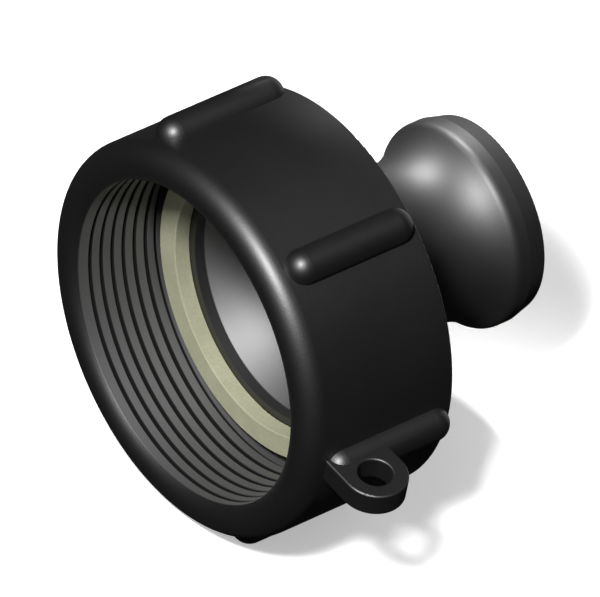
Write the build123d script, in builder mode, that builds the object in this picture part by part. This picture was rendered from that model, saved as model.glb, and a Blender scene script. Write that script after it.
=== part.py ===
from build123d import *
import os
from math import acos, cos, degrees, radians, sin, sqrt, tan

# Swivel adapter for the outlet of a bulk container.
# A hand-tightened union nut pulls the collar of a hollow spigot, with a loose flat seal
# in front of it, against the container's threaded outlet. The far end of the spigot has
# the round groove and the head that a lever coupling slides over and grips.
#
# Frame: +Y runs along the axis from the nut's mouth to the spigot's end, +Z is up, and
# the origin is the centre of the seal's front face. The adapter lies on its side, on the
# barrel of the nut and on one of the grip ribs.

# Inlet thread of the nut, 2 inch parallel pipe thread, right-handed: one helical groove
# leaves broad flat ridges between its turns
thread_crest_radius = 28.5
thread_height = 1.35         # from the crest to the root
thread_pitch = 2.309
thread_depth = 17.0          # from the mouth to the seal's front face
thread_start = 1.96          # from the mouth to the start of the groove
thread_start_angle = -120.0  # round the axis, from the lug
thread_overrun = 1.13        # the groove runs on this far past the seal's front face
thread_groove_width = 0.9    # along the axis, at the crest
thread_floor_width = 0.25    # at the root
cutter_overlap = 0.5         # the groove's cutter reaches this far inwards past the crest

# Union nut
nut_wall = 5.15              # outside the thread's root
lip_radius = 3.65            # the lip of the mouth is a full round
back_wall = 5.05
back_edge_rounding = 0.6

# Grip ribs, half-round bars with ball ends along the nut
rib_count = 6
rib_radius = 3.15
rib_front_setback = 7.2      # from the mouth to the centre of the front ball
rib_back_setback = 4.0       # from the centre of the back ball to the nut's back

# Lanyard lug, a flat tab on the crown of one rib
lug_stand_out = 5.9          # from the nut's barrel to the centre of the hole
lug_setback = 9.65           # from the mouth to the centre of the hole
lug_half_width = 5.65
lug_thickness = 4.2
lug_hole_radius = 2.95
lug_edge_rounding = 0.35

# Flat seal ring
seal_thickness = 3.1
seal_width = 4.1
seal_gap = 1.7               # round the seal, to the thread's crest
seat_relief = 0.4            # the bore round the seal and the collar is this much wider
seal_edge_rounding = 0.2

# Clearances of the swivel
collar_clearance = 0.35      # round the collar, on its way in through the thread
neck_clearance = 0.3         # round the neck, in the nut's back wall

# Spigot, inlet side
collar_thickness = 5.0
collar_edge_rounding = 0.5
inlet_bore_radius = 21.3
inlet_bore_length = 1.9      # straight, from the collar's front face to the funnel
funnel_angle = 31.0          # between the funnel's wall and the axis
neck_wall = 3.2              # round the funnel, at the back of the collar
neck_stand_out = 1.2         # straight neck behind the nut
shoulder_angle = 45.0        # of the cone from the neck down to the barrel

# Spigot, outlet side
head_radius = 18.3           # also the barrel's, because the coupling slides over both
barrel_length = 0.8
groove_depth = 4.1
groove_arc_radius = 13.7
groove_edge_rounding = 2.27
head_land = 2.0              # straight part of the head
tip_length = 3.65
tip_taper = 0.9              # radial
tip_edge_rounding = 0.4
outlet_wall = 3.2            # between the groove's root and the outlet bore
bore_edge_rounding = 0.5

# Radii, from the thread outwards and inwards, and from the coupling head inwards
thread_root_radius = thread_crest_radius + thread_height
nut_radius = thread_root_radius + nut_wall
lug_reach = nut_radius + lug_stand_out
seat_radius = thread_crest_radius + seat_relief
seal_inner_radius = thread_crest_radius - seal_gap - seal_width
collar_radius = thread_crest_radius - collar_clearance
funnel_slope = tan(radians(funnel_angle))
neck_radius = inlet_bore_radius - (collar_thickness - inlet_bore_length) * funnel_slope + neck_wall
neck_hole_radius = neck_radius + neck_clearance
groove_root_radius = head_radius - groove_depth
outlet_bore_radius = groove_root_radius - outlet_wall
tip_radius = head_radius - tip_taper

# Places along the axis, inlet side
mouth_y = -thread_depth
lip_centre_y = mouth_y + lip_radius
collar_front_y = seal_thickness
collar_back_y = collar_front_y + collar_thickness
nut_back_y = collar_back_y + back_wall

# Places along the axis, outlet side
shoulder_y = nut_back_y + neck_stand_out
barrel_y = shoulder_y + (neck_radius - head_radius) / tan(radians(shoulder_angle))
groove_edge_y = barrel_y + barrel_length
arc_centre_radius = groove_root_radius + groove_arc_radius
rounding_centre_radius = head_radius - groove_edge_rounding
half_groove = sqrt((groove_arc_radius + groove_edge_rounding) ** 2
                   - (arc_centre_radius - rounding_centre_radius) ** 2)
groove_y = groove_edge_y + half_groove
tip_y = groove_y + half_groove + head_land
end_y = tip_y + tip_length
funnel_front_y = collar_front_y + inlet_bore_length
funnel_back_y = funnel_front_y + (inlet_bore_radius - outlet_bore_radius) / funnel_slope

# The nut lies on its barrel, and it rolls towards the heavier side, the lug's, until the
# next rib touches the same surface. The lug's own rib is one rib pitch above that one.
rest_rib_angle = degrees(acos((nut_radius - rib_radius) / nut_radius))
lug_drop = 90 - rest_rib_angle - 360 / rib_count
lug_direction = Vector(cos(radians(lug_drop)), 0, -sin(radians(lug_drop)))
axis_direction = Vector(0, 1, 0)
lug_plane = Plane(origin=(0, 0, 0), x_dir=lug_direction, z_dir=lug_direction.cross(axis_direction))

corner = (Align.MIN, Align.MIN)


# Lanyard lug: a tab with a round end and a hole, rounded along all its edges. Its root
# starts inside the nut's wall, level with the bottom of the ribs.
with BuildPart() as lug_tab:
    lug_root_radius = nut_radius - rib_radius
    with BuildSketch(lug_plane):
        with Locations((lug_reach, mouth_y + lug_setback)):
            Circle(lug_half_width)
        with Locations((lug_root_radius, mouth_y + lug_setback)):
            Rectangle(lug_reach - lug_root_radius, 2 * lug_half_width, align=(Align.MIN, Align.CENTER))
        with Locations((lug_reach, mouth_y + lug_setback)):
            Circle(lug_hole_radius, mode=Mode.SUBTRACT)
    extrude(amount=lug_thickness / 2, both=True)
    fillet(lug_tab.edges(), lug_edge_rounding)

# Groove of the thread: a narrow trapezium swept along a helix. It starts behind the round
# of the lip and reaches inwards past the crest, so that it cuts the bore open all along.
# It is made round the Z axis and placed in the nut by the thread's own plane.
flank_lean = (thread_groove_width - thread_floor_width) / 2 / thread_height
with BuildPart() as thread_groove:
    with BuildLine():
        thread_helix = Helix(thread_pitch, thread_depth + thread_overrun - thread_start, thread_crest_radius)
    with BuildSketch(Plane(origin=thread_helix @ 0, x_dir=(1, 0, 0), z_dir=thread_helix % 0)):
        with BuildLine():
            Polyline(
                (-cutter_overlap, -thread_groove_width / 2 - cutter_overlap * flank_lean),
                (thread_height, -thread_floor_width / 2),
                (thread_height, thread_floor_width / 2),
                (-cutter_overlap, thread_groove_width / 2 + cutter_overlap * flank_lean),
                close=True,
            )
        make_face()
    sweep(path=thread_helix, is_frenet=True)

# Union nut: a cup with a full-round lip and a flat back wall. Its bore holds the thread,
# then the seal and the collar, and the back wall has a hole for the spigot's neck.
with BuildPart() as union_nut:
    with BuildSketch(lug_plane) as nut_section:
        with Locations((nut_radius - lip_radius, lip_centre_y)):
            Circle(lip_radius)
        with Locations((0, lip_centre_y)):
            Rectangle(nut_radius, nut_back_y - lip_centre_y, align=corner)
        back_edge = nut_section.vertices().group_by(Axis.Y)[-1].sort_by(Axis.X)[-1]
        fillet(back_edge, back_edge_rounding)
        with Locations((0, mouth_y)):
            Rectangle(thread_crest_radius, thread_depth, align=corner, mode=Mode.SUBTRACT)
            Rectangle(neck_hole_radius, nut_back_y - mouth_y, align=corner, mode=Mode.SUBTRACT)
        Rectangle(seat_radius, collar_back_y, align=corner, mode=Mode.SUBTRACT)
    revolve(axis=Axis.Y)
    thread_plane = Plane(
        origin=(0, mouth_y + thread_start, 0),
        x_dir=lug_direction.rotate(Axis.Y, thread_start_angle),
        z_dir=axis_direction,
    )
    with Locations(thread_plane):
        add(thread_groove.part, mode=Mode.SUBTRACT)
    rib_length = nut_back_y - mouth_y - rib_front_setback - rib_back_setback
    rib_front = Plane(origin=(0, mouth_y + rib_front_setback, 0), x_dir=lug_direction, z_dir=axis_direction)
    with Locations(rib_front):
        with PolarLocations(nut_radius, rib_count):
            Cylinder(rib_radius, rib_length, align=(Align.CENTER, Align.CENTER, Align.MIN))
            Sphere(rib_radius)
    with Locations(rib_front.offset(rib_length)):
        with PolarLocations(nut_radius, rib_count):
            Sphere(rib_radius)
    add(lug_tab.part)
    # The hole also takes the top of the rib's crown away, inside the lug.
    with BuildSketch(lug_plane):
        with Locations((lug_reach, mouth_y + lug_setback)):
            Circle(lug_hole_radius)
    extrude(amount=lug_thickness, both=True, mode=Mode.SUBTRACT)

# Flat seal ring, loose in the nut in front of the collar
with BuildPart() as seal:
    with BuildSketch(Plane.XY):
        with Locations((seal_inner_radius, 0)):
            RectangleRounded(seal_width, seal_thickness, seal_edge_rounding, align=corner)
    revolve(axis=Axis.Y)

# Spigot: one hollow round body. The collar sits behind the seal, the neck turns in the nut's
# back wall, and the barrel, the round groove and the head are the coupling's half. Inside, a
# funnel leads from the wide inlet down to the outlet bore.
with BuildPart() as spigot:
    with BuildSketch(Plane.XY) as spigot_section:
        with Locations((0, collar_front_y)):
            Rectangle(collar_radius, collar_thickness, align=corner)
            Rectangle(neck_radius, shoulder_y - collar_front_y, align=corner)
        collar_edges = spigot_section.vertices().group_by(Axis.X)[-1]
        fillet(collar_edges, collar_edge_rounding)
        with BuildLine():
            Polyline(
                (0, shoulder_y),
                (neck_radius, shoulder_y),
                (head_radius, barrel_y),
                (0, barrel_y),
                close=True,
            )
        make_face()
        with Locations((0, barrel_y)):
            Rectangle(head_radius, tip_y - barrel_y, align=corner)
        with Locations((arc_centre_radius, groove_y)):
            Circle(groove_arc_radius, mode=Mode.SUBTRACT)
        groove_edges = spigot_section.vertices().sort_by_distance((head_radius, groove_y))[:2]
        fillet(groove_edges, groove_edge_rounding)
        with BuildLine():
            Polyline((0, tip_y), (head_radius, tip_y), (tip_radius, end_y), (0, end_y), close=True)
        make_face()
        tip_edge = spigot_section.vertices().sort_by_distance((tip_radius, end_y))[0]
        fillet(tip_edge, tip_edge_rounding)
        with BuildLine():
            Polyline(
                (0, collar_front_y),
                (inlet_bore_radius, collar_front_y),
                (inlet_bore_radius, funnel_front_y),
                (outlet_bore_radius, funnel_back_y),
                (outlet_bore_radius, end_y),
                (0, end_y),
                close=True,
            )
        make_face(mode=Mode.SUBTRACT)
        bore_edge = spigot_section.vertices().sort_by_distance((outlet_bore_radius, end_y))[0]
        fillet(bore_edge, bore_edge_rounding)
    revolve(axis=Axis.Y)

os.makedirs("parts", exist_ok=True)

union_nut.part.label = "union_nut"
export_step(union_nut.part, "parts/union_nut.step")

seal.part.label = "seal"
export_step(seal.part, "parts/seal.step")

spigot.part.label = "spigot"
export_step(spigot.part, "parts/spigot.step")
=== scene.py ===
import math

import bpy
from mathutils import Matrix, Vector


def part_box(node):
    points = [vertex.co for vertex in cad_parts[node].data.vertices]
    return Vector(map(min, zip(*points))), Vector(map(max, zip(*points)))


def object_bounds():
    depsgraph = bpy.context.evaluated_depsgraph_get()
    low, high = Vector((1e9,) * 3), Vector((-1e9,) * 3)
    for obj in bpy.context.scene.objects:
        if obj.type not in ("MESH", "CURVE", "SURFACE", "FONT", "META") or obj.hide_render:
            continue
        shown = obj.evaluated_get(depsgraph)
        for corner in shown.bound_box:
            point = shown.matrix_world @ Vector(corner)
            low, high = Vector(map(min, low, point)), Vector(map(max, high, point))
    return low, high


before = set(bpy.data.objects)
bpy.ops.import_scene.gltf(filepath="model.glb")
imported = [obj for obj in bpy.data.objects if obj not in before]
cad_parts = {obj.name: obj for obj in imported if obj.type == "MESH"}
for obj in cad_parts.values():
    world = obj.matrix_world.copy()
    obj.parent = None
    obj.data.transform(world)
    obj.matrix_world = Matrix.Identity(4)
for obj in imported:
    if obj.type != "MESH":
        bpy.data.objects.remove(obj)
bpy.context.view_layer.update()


# Union nut
# A hand-tightened nut moulded in black polypropylene: a cup with a full-round lip, six grip
# ribs and a lanyard lug. The mould leaves it glossy, with a faint grain and hairlines. The crests
# of the thread and the seat round the seal carry a painted sheen: a lighter grey under a strong coat.
def build_moulded_skin():
    """Make the surface of a moulded black part as a node group.

    Tint and gloss follow two sums of noise: a slow one for the flow of the melt, and one
    stretched sideways for hairlines. The height is a fine noise for the grain of the mould
    plus a slow one for the faint waves that a thick wall gets as it shrinks.
    """
    group = bpy.data.node_groups.new("moulded_skin", "ShaderNodeTree")
    inputs = (("Colour", "NodeSocketColor", (0.004, 0.004, 0.004, 1)),
              ("Worn colour", "NodeSocketColor", (0.02, 0.02, 0.02, 1)),
              ("Roughness", "NodeSocketFloat", 0.5),
              ("Roughness spread", "NodeSocketFloat", 0.05),
              ("Grain per metre", "NodeSocketFloat", 2500.0),
              ("Grain height", "NodeSocketFloat", 0.1))
    for name, kind, value in inputs:
        socket = group.interface.new_socket(name=name, in_out="INPUT", socket_type=kind)
        socket.default_value = value
    for name, kind in (("Colour", "NodeSocketColor"), ("Roughness", "NodeSocketFloat"),
                       ("Normal", "NodeSocketVector")):
        group.interface.new_socket(name=name, in_out="OUTPUT", socket_type=kind)
    nodes, links = group.nodes, group.links
    given = nodes.new("NodeGroupInput")
    made = nodes.new("NodeGroupOutput")
    place = nodes.new("ShaderNodeTexCoord")

    flow = nodes.new("ShaderNodeTexNoise")
    flow.inputs["Scale"].default_value = 70
    flow.inputs["Detail"].default_value = 4
    links.new(place.outputs["Object"], flow.inputs["Vector"])

    grain = nodes.new("ShaderNodeTexNoise")
    grain.inputs["Detail"].default_value = 2
    links.new(place.outputs["Object"], grain.inputs["Vector"])
    links.new(given.outputs["Grain per metre"], grain.inputs["Scale"])

    stretch = nodes.new("ShaderNodeMapping")
    stretch.inputs["Rotation"].default_value = (0.4, 0.2, 0.9)
    stretch.inputs["Scale"].default_value = (1, 14, 14)
    hairline = nodes.new("ShaderNodeTexNoise")
    hairline.inputs["Scale"].default_value = 90
    hairline.inputs["Detail"].default_value = 4
    hairline_mask = nodes.new("ShaderNodeMapRange")
    hairline_mask.inputs["From Min"].default_value = 0.64
    hairline_mask.inputs["From Max"].default_value = 0.80
    links.new(place.outputs["Object"], stretch.inputs["Vector"])
    links.new(stretch.outputs["Vector"], hairline.inputs["Vector"])
    links.new(hairline.outputs["Fac"], hairline_mask.inputs["Value"])

    hairlines = nodes.new("ShaderNodeMath")
    hairlines.operation = "MULTIPLY"
    hairlines.inputs[1].default_value = 0.5
    worn = nodes.new("ShaderNodeMath")
    worn.operation = "MULTIPLY_ADD"
    worn.inputs[1].default_value = 0.35
    tint = nodes.new("ShaderNodeMix")
    tint.data_type = "RGBA"
    links.new(hairline_mask.outputs["Result"], hairlines.inputs[0])
    links.new(flow.outputs["Fac"], worn.inputs[0])
    links.new(hairlines.outputs["Value"], worn.inputs[2])
    links.new(worn.outputs["Value"], tint.inputs["Factor"])
    links.new(given.outputs["Colour"], tint.inputs["A"])
    links.new(given.outputs["Worn colour"], tint.inputs["B"])
    links.new(tint.outputs["Result"], made.inputs["Colour"])

    centred = nodes.new("ShaderNodeMath")
    centred.operation = "SUBTRACT"
    centred.inputs[1].default_value = 0.5
    both = nodes.new("ShaderNodeMath")
    both.operation = "ADD"
    gloss = nodes.new("ShaderNodeMath")
    gloss.operation = "MULTIPLY_ADD"
    links.new(flow.outputs["Fac"], centred.inputs[0])
    links.new(centred.outputs["Value"], both.inputs[0])
    links.new(hairlines.outputs["Value"], both.inputs[1])
    links.new(both.outputs["Value"], gloss.inputs[0])
    links.new(given.outputs["Roughness spread"], gloss.inputs[1])
    links.new(given.outputs["Roughness"], gloss.inputs[2])
    links.new(gloss.outputs["Value"], made.inputs["Roughness"])

    waves = nodes.new("ShaderNodeMath")
    waves.operation = "MULTIPLY_ADD"
    waves.inputs[1].default_value = 4
    relief = nodes.new("ShaderNodeBump")
    relief.inputs["Distance"].default_value = 0.0001
    links.new(flow.outputs["Fac"], waves.inputs[0])
    links.new(grain.outputs["Fac"], waves.inputs[2])
    links.new(given.outputs["Grain height"], relief.inputs["Strength"])
    links.new(waves.outputs["Value"], relief.inputs["Height"])
    links.new(relief.outputs["Normal"], made.inputs["Normal"])
    return group


moulded_skin = build_moulded_skin()


def add_skin(material, colour, worn_colour, roughness, spread, grains, height):
    """Place the moulded skin in a material with the values of one surface."""
    skin = material.node_tree.nodes.new("ShaderNodeGroup")
    skin.node_tree = moulded_skin
    skin.inputs["Colour"].default_value = (*colour, 1)
    skin.inputs["Worn colour"].default_value = (*worn_colour, 1)
    skin.inputs["Roughness"].default_value = roughness
    skin.inputs["Roughness spread"].default_value = spread
    skin.inputs["Grain per metre"].default_value = grains
    skin.inputs["Grain height"].default_value = height
    return skin


def step_between(nodes, links, source, low, high):
    """Return a socket that rises from 0 to 1 while the source goes from low to high."""
    step = nodes.new("ShaderNodeMapRange")
    step.interpolation_type = "SMOOTHSTEP"
    step.inputs["From Min"].default_value = low
    step.inputs["From Max"].default_value = high
    links.new(source, step.inputs["Value"])
    return step.outputs["Result"]


def multiply(nodes, links, first, second):
    """Return a socket with the product of two sockets."""
    product = nodes.new("ShaderNodeMath")
    product.operation = "MULTIPLY"
    links.new(first, product.inputs[0])
    links.new(second, product.inputs[1])
    return product.outputs["Value"]


def distance_from_axis(nodes, links, place):
    """Return a socket with the distance from the adapter's own axis, the Y axis."""
    flat = nodes.new("ShaderNodeVectorMath")
    flat.operation = "MULTIPLY"
    flat.inputs[1].default_value = (1, 0, 1)
    length = nodes.new("ShaderNodeVectorMath")
    length.operation = "LENGTH"
    links.new(place.outputs["Object"], flat.inputs[0])
    links.new(flat.outputs["Vector"], length.inputs[0])
    return length.outputs["Value"]


def dress_plastic(material, outside, painted_sheen_side, painted_sheen_weight):
    """Join two skins by a mask, and give the second a painted sheen under a strong coat."""
    nodes, links = material.node_tree.nodes, material.node_tree.links
    shader = nodes["Principled BSDF"]
    shader.inputs["Specular IOR Level"].default_value = 1.0
    shader.inputs["Coat Roughness"].default_value = 0.64
    shader.inputs["Coat IOR"].default_value = 2.0
    # Painted sheen: the mask lays a high-index coat on the second skin so that it shines more.
    links.new(painted_sheen_weight, shader.inputs["Coat Weight"])
    for kind, output, target in (("RGBA", "Colour", "Base Color"),
                                 ("FLOAT", "Roughness", "Roughness"),
                                 ("VECTOR", "Normal", "Normal")):
        mix = nodes.new("ShaderNodeMix")
        mix.data_type = kind
        links.new(painted_sheen_weight, mix.inputs["Factor"])
        links.new(outside.outputs[output], mix.inputs["A"])
        links.new(painted_sheen_side.outputs[output], mix.inputs["B"])
        links.new(mix.outputs["Result"], shader.inputs[target])


def nut_plastic():
    """Glossy black outside and in the groove, with a painted grey sheen on the threaded wall.

    The sheen is 1 on the crests of the thread, from the lip to the seal, and on the seat
    round the seal, and each of its ends takes a tenth of a millimetre or two.
    """
    lip_depth = 0.0013
    thread_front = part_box("union_nut")[0].y + lip_depth
    thread_crest = 0.0285
    seat_front, seat_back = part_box("seal")[0].y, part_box("seal")[1].y
    seat_radius = 0.0289
    edge = 0.0001
    material = bpy.data.materials.new("nut_plastic")
    material.use_nodes = True
    nodes, links = material.node_tree.nodes, material.node_tree.links
    glossy = add_skin(material, colour=(0.0008, 0.0008, 0.0008), worn_colour=(0.0020, 0.0020, 0.0021),
                      roughness=0.48, spread=0.05, grains=2600, height=0.16)
    # Painted sheen: a lighter grey skin which, under the coat, makes the thread's crests and the seat
    # catch more light.
    painted_sheen_skin = add_skin(material, colour=(0.006, 0.006, 0.006), worn_colour=(0.012, 0.012, 0.013),
                    roughness=0.64, spread=0.06, grains=3600, height=0.3)

    place = nodes.new("ShaderNodeTexCoord")
    parts = nodes.new("ShaderNodeSeparateXYZ")
    links.new(place.outputs["Object"], parts.inputs["Vector"])
    along = parts.outputs["Y"]
    radius = distance_from_axis(nodes, links, place)
    behind_lip = step_between(nodes, links, along, thread_front - edge, thread_front + 2 * edge)
    on_crest = step_between(nodes, links, radius, thread_crest + 2 * edge, thread_crest + edge)
    in_seat = step_between(nodes, links, along, seat_front, seat_front + edge)
    before_collar = step_between(nodes, links, along, seat_back + edge, seat_back)
    on_seat = step_between(nodes, links, radius, seat_radius + 2 * edge, seat_radius + edge)
    crest = multiply(nodes, links, behind_lip, on_crest)
    seat = multiply(nodes, links, in_seat, on_seat)
    either = nodes.new("ShaderNodeMath")
    either.operation = "MAXIMUM"
    links.new(crest, either.inputs[0])
    links.new(seat, either.inputs[1])
    # Painted sheen mask: the thread's crests and the seal's seat, from behind the lip to the collar.
    painted_sheen_mask = multiply(nodes, links, either.outputs["Value"], before_collar)
    dress_plastic(material, glossy, painted_sheen_skin, painted_sheen_mask)
    return material


def dress(node_name, material):
    """Give a node of the frame one material of its own."""
    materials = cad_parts[node_name].data.materials
    materials.clear()
    materials.append(material)


dress("union_nut", nut_plastic())


# Seal
# A flat ring stamped from cream rubber sheet, loose in front of the collar. It is matt, with
# fine speckles of filler.
def seal_rubber():
    """Cream rubber: two sizes of speckle tint it, and the finer one also raises it."""
    material = bpy.data.materials.new("seal_rubber")
    material.use_nodes = True
    nodes, links = material.node_tree.nodes, material.node_tree.links
    shader = nodes["Principled BSDF"]
    shader.inputs["Roughness"].default_value = 0.9
    shader.inputs["Specular IOR Level"].default_value = 0.1
    place = nodes.new("ShaderNodeTexCoord")
    speckle = nodes.new("ShaderNodeTexNoise")
    speckle.inputs["Scale"].default_value = 2200
    speckle.inputs["Detail"].default_value = 3
    cloud = nodes.new("ShaderNodeTexNoise")
    cloud.inputs["Scale"].default_value = 160
    blend = nodes.new("ShaderNodeMath")
    blend.operation = "MULTIPLY"
    colours = nodes.new("ShaderNodeValToRGB")
    colours.color_ramp.elements[0].position = 0.10
    colours.color_ramp.elements[0].color = (0.235, 0.235, 0.162, 1)
    colours.color_ramp.elements[1].position = 0.44
    colours.color_ramp.elements[1].color = (0.290, 0.290, 0.205, 1)
    relief = nodes.new("ShaderNodeBump")
    relief.inputs["Strength"].default_value = 0.2
    relief.inputs["Distance"].default_value = 0.0001
    links.new(place.outputs["Object"], speckle.inputs["Vector"])
    links.new(place.outputs["Object"], cloud.inputs["Vector"])
    links.new(speckle.outputs["Fac"], blend.inputs[0])
    links.new(cloud.outputs["Fac"], blend.inputs[1])
    links.new(blend.outputs["Value"], colours.inputs["Fac"])
    links.new(colours.outputs["Color"], shader.inputs["Base Color"])
    links.new(speckle.outputs["Fac"], relief.inputs["Height"])
    links.new(relief.outputs["Normal"], shader.inputs["Normal"])
    return material


dress("seal", seal_rubber())


# Spigot
# One hollow moulding in the same black polypropylene, smoother than the nut over the groove and
# the head, where the coupling's gasket and cams run. The funnel inside has a painted sheen.
def spigot_plastic():
    """Smooth glossy black with a fine grain, a trace of painted sheen, and all of it in the funnel.

    The full sheen starts behind the straight bore of the inlet, stays within its radius and
    fades before the outlet.
    """
    bore_length = 0.0019
    funnel_length = 0.018
    funnel_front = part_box("seal")[1].y + bore_length
    funnel_back = funnel_front + funnel_length
    inlet_radius = 0.0213
    edge = 0.0001
    fade = 0.003
    # A trace of painted sheen over the whole outside, which widens the highlights on the spigot.
    painted_outside_sheen = 0.10
    material = bpy.data.materials.new("spigot_plastic")
    material.use_nodes = True
    nodes, links = material.node_tree.nodes, material.node_tree.links
    glossy = add_skin(material, colour=(0.0008, 0.0008, 0.0008), worn_colour=(0.0022, 0.0022, 0.0023),
                      roughness=0.52, spread=0.04, grains=3200, height=0.12)
    # Painted sheen: a lighter grey skin which, under the coat, makes the funnel shine more.
    painted_sheen_skin = add_skin(material, colour=(0.0020, 0.0020, 0.0020), worn_colour=(0.0050, 0.0050, 0.0052),
                    roughness=0.62, spread=0.05, grains=3600, height=0.2)
    place = nodes.new("ShaderNodeTexCoord")
    parts = nodes.new("ShaderNodeSeparateXYZ")
    links.new(place.outputs["Object"], parts.inputs["Vector"])
    along = parts.outputs["Y"]
    radius = distance_from_axis(nodes, links, place)
    behind_bore = step_between(nodes, links, along, funnel_front, funnel_front + 2 * edge)
    before_outlet = step_between(nodes, links, along, funnel_back, funnel_back - fade)
    in_funnel = step_between(nodes, links, radius, inlet_radius + 4 * edge, inlet_radius + edge)
    funnel = multiply(nodes, links, multiply(nodes, links, behind_bore, before_outlet), in_funnel)
    # Painted sheen mask: full in the funnel, a trace everywhere else.
    painted_sheen_mask = nodes.new("ShaderNodeMapRange")
    painted_sheen_mask.inputs["To Min"].default_value = painted_outside_sheen
    links.new(funnel, painted_sheen_mask.inputs["Value"])
    dress_plastic(material, glossy, painted_sheen_skin, painted_sheen_mask.outputs["Result"])
    return material


dress("spigot", spigot_plastic())


# Studio
# A pale floor, faintly lit by itself, that throws no light on the adapter, and a long lens that
# looks down on the nut's mouth. The key light and a weak soft one hang above and to the left of
# the camera, a narrow one from above picks out the spigot, and a weak one keeps the back
# readable. The pale room fills the shadows but is hardly mirrored in the black plastic.
floor_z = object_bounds()[0].z
floor_reach = 3
floor_mesh = bpy.data.meshes.new("floor")
floor_corners = [(-floor_reach, -floor_reach, floor_z), (floor_reach, -floor_reach, floor_z),
                 (floor_reach, floor_reach, floor_z), (-floor_reach, floor_reach, floor_z)]
floor_mesh.from_pydata(floor_corners, [], [(0, 1, 2, 3)])
floor_paint = bpy.data.materials.new("floor_paint")
floor_paint.use_nodes = True
paint = floor_paint.node_tree.nodes["Principled BSDF"]
paint.inputs["Base Color"].default_value = (0.86, 0.86, 0.86, 1)
paint.inputs["Roughness"].default_value = 0.9
paint.inputs["Emission Color"].default_value = (1, 1, 1, 1)
paint.inputs["Emission Strength"].default_value = 0.4
floor_mesh.materials.append(floor_paint)
floor = bpy.data.objects.new("floor", floor_mesh)
floor.visible_glossy = False
floor.visible_diffuse = False
bpy.context.scene.collection.objects.link(floor)

camera_right = Vector((0.6108, 0.7871, 0.0862))
camera_up = Vector((-0.5523, 0.3455, 0.7587))
camera_back = camera_right.cross(camera_up).normalized()
pixels_per_metre = 6070
frame_size = (600, 597)
origin_pixel = (259.10, 309.65)

camera_data = bpy.data.cameras.new("camera")
camera_data.lens = 1000
camera_data.sensor_width = 36
camera_data.clip_start = 0.1
camera_data.clip_end = 20
camera_distance = frame_size[0] / pixels_per_metre * camera_data.lens / camera_data.sensor_width
camera = bpy.data.objects.new("camera", camera_data)
right_shift = (frame_size[0] / 2 - origin_pixel[0]) / pixels_per_metre
up_shift = (origin_pixel[1] - frame_size[1] / 2) / pixels_per_metre
aim = camera_right * right_shift + camera_up * up_shift
turn = Matrix((camera_right, camera_up, camera_back)).transposed().to_4x4()
camera.matrix_world = Matrix.Translation(aim + camera_back * camera_distance) @ turn
bpy.context.scene.collection.objects.link(camera)
bpy.context.scene.camera = camera


def hang_light(data, target, direction, distance):
    """Hang a light at a distance from its target, facing it."""
    light = bpy.data.objects.new(data.name, data)
    back = direction.normalized()
    light.location = target + back * distance
    light.rotation_mode = "QUATERNION"
    light.rotation_quaternion = back.to_track_quat("Z", "Y")
    bpy.context.scene.collection.objects.link(light)


def seen_from_camera(right, up, back):
    """Return the direction with these parts along the camera's right, up and back."""
    return camera_right * right + camera_up * up + camera_back * back


adapter_centre = Vector((0, 0, 0))
spigot_head = Vector((0, 0.040, 0))
lamp_distance = 0.9
top_lamp_distance = 0.3

key_light = bpy.data.lights.new("key_light", "AREA")
key_light.size = 0.12
key_light.energy = 14.5
hang_light(key_light, adapter_centre, seen_from_camera(-0.15, 0.24, 0.96), lamp_distance)

soft_light = bpy.data.lights.new("soft_light", "AREA")
soft_light.size = 0.6
soft_light.energy = 2.2
hang_light(soft_light, adapter_centre, seen_from_camera(-0.28, 0.34, 0.90), lamp_distance)

top_light = bpy.data.lights.new("top_light", "SPOT")
top_light.energy = 12
top_light.spot_size = math.radians(9)
top_light.spot_blend = 0.7
top_light.shadow_soft_size = 0.028
hang_light(top_light, spigot_head, seen_from_camera(-0.14, 0.98, 0.12), top_lamp_distance)

back_light = bpy.data.lights.new("back_light", "AREA")
back_light.size = 0.8
back_light.energy = 1.5
hang_light(back_light, adapter_centre, seen_from_camera(0.55, 0.50, -0.67), lamp_distance)

room_fill = 0.25
room_mirrored = 0.012
room_seen = 1
world = bpy.data.worlds.new("studio")
world.use_nodes = True
room = world.node_tree.nodes
room_links = world.node_tree.links
room["Background"].inputs["Color"].default_value = (1, 1, 1, 1)
ray = room.new("ShaderNodeLightPath")
mirrored = room.new("ShaderNodeMix")
seen = room.new("ShaderNodeMix")
mirrored.inputs["A"].default_value = room_fill
mirrored.inputs["B"].default_value = room_mirrored
seen.inputs["B"].default_value = room_seen
room_links.new(ray.outputs["Is Glossy Ray"], mirrored.inputs["Factor"])
room_links.new(mirrored.outputs["Result"], seen.inputs["A"])
room_links.new(ray.outputs["Is Camera Ray"], seen.inputs["Factor"])
room_links.new(seen.outputs["Result"], room["Background"].inputs["Strength"])
bpy.context.scene.world = world
bpy.context.scene.view_settings.view_transform = "Standard"
